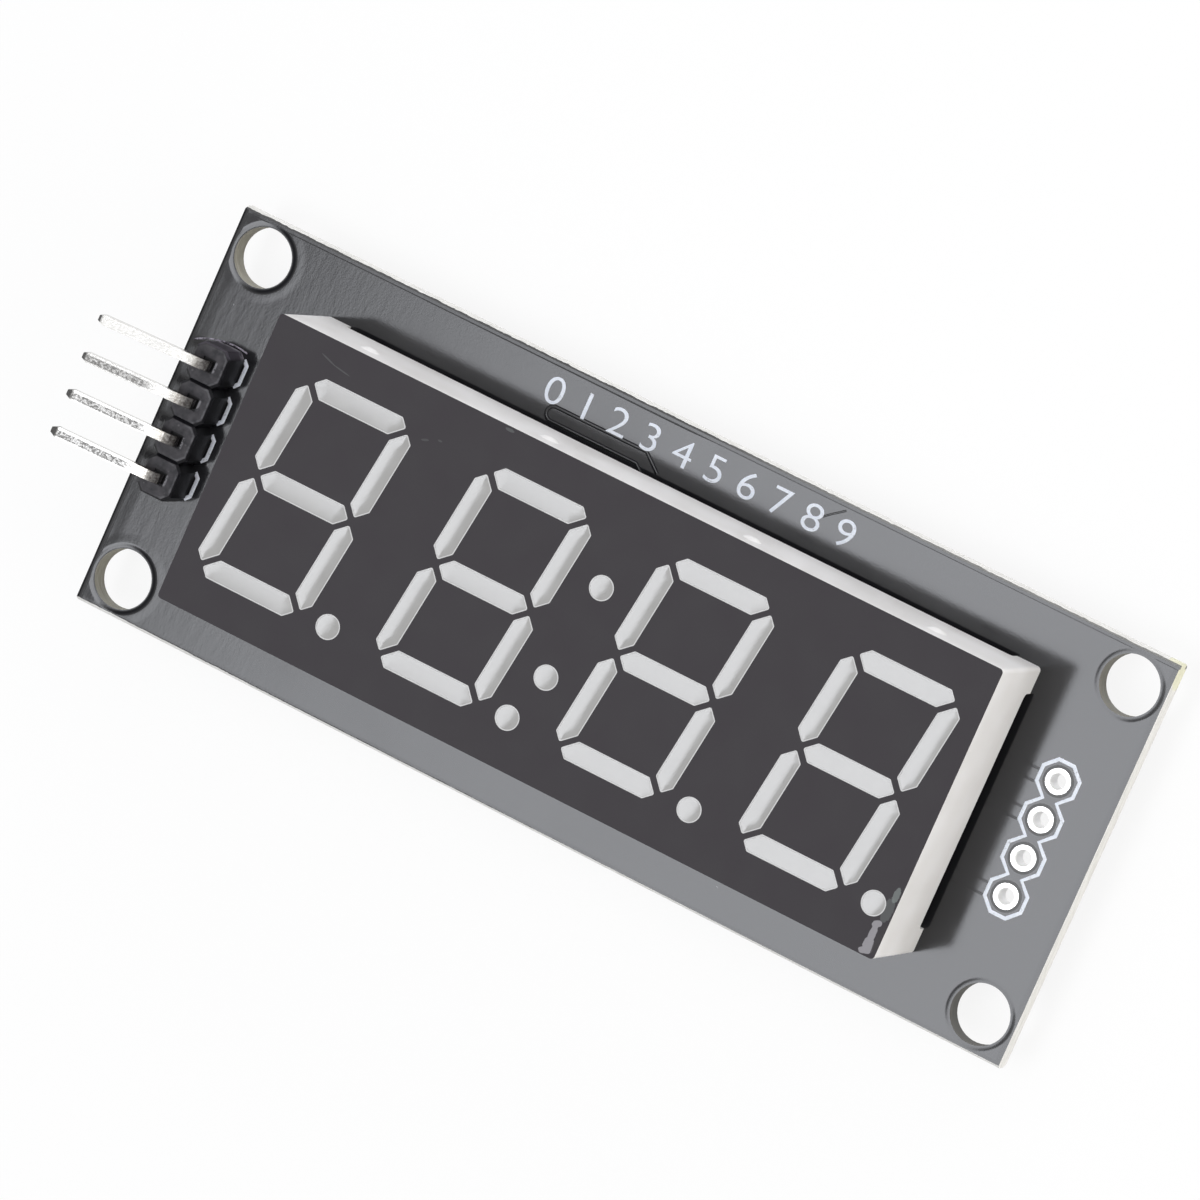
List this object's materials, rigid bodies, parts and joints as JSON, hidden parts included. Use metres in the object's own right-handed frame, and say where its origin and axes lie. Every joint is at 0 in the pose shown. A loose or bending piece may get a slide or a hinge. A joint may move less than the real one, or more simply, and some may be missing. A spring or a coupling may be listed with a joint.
{
  "type": "seven segment display module",
  "caption": "Black circuit board with a moulded white LED display of slanted seven segment digits, a bent pin header, empty header holes at the far end and a driver chip beneath.",
  "frame": {"origin": "centre of the four corner holes on the circuit board's underside, where spacers seat", "axes": "+X along the board from the pin header to the row of empty holes, +Y up the digits, +Z out of the display's face"},
  "size_m": [0.0701, 0.0268, 0.0121],
  "materials": {
    "solder_mask": "black solder mask over a glass-fibre laminate, glossy",
    "tinned_pad": "tin on copper, bright",
    "housing_plastic": "moulded white plastic, satin",
    "face_ink": "black print, matt, worn at one corner",
    "milky_resin": "cast milky resin, satin",
    "led_laminate": "bare laminate, matt",
    "led_die": "sawn crystal",
    "pin_tin": "tin plate, bright",
    "solder": "solder, bright",
    "header_plastic": "moulded black plastic, glossy",
    "chip_plastic": "moulded black epoxy, matt",
    "lead_tin": "tin plate, satin",
    "resistor_glaze": "black glaze over white ceramic",
    "capacitor_ceramic": "tan ceramic, satin",
    "end_tin": "tin over nickel, satin"
  },
  "bodies": {
    "root": {"circuit_board": "solder_mask", "chain_pads": "tinned_pad", "header_pads": "tinned_pad", "display_pads": "tinned_pad", "display_housing": "housing_plastic", "face_ink": "face_ink", "potting_resin": "milky_resin", "led_board": "led_laminate", "led_dies": "led_die", "display_pins": "pin_tin", "display_solder": "solder", "header_body": "header_plastic", "header_pin_1": "pin_tin", "header_pin_2": "pin_tin", "header_pin_3": "pin_tin", "header_pin_4": "pin_tin", "header_solder": "solder", "driver_body": "chip_plastic", "driver_leads": "lead_tin", "driver_solder": "solder", "resistor_bodies": "resistor_glaze", "resistor_ends": "end_tin", "capacitor_bodies": "capacitor_ceramic", "capacitor_ends": "end_tin", "chip_solder": "solder"}
  },
  "joints": []
}
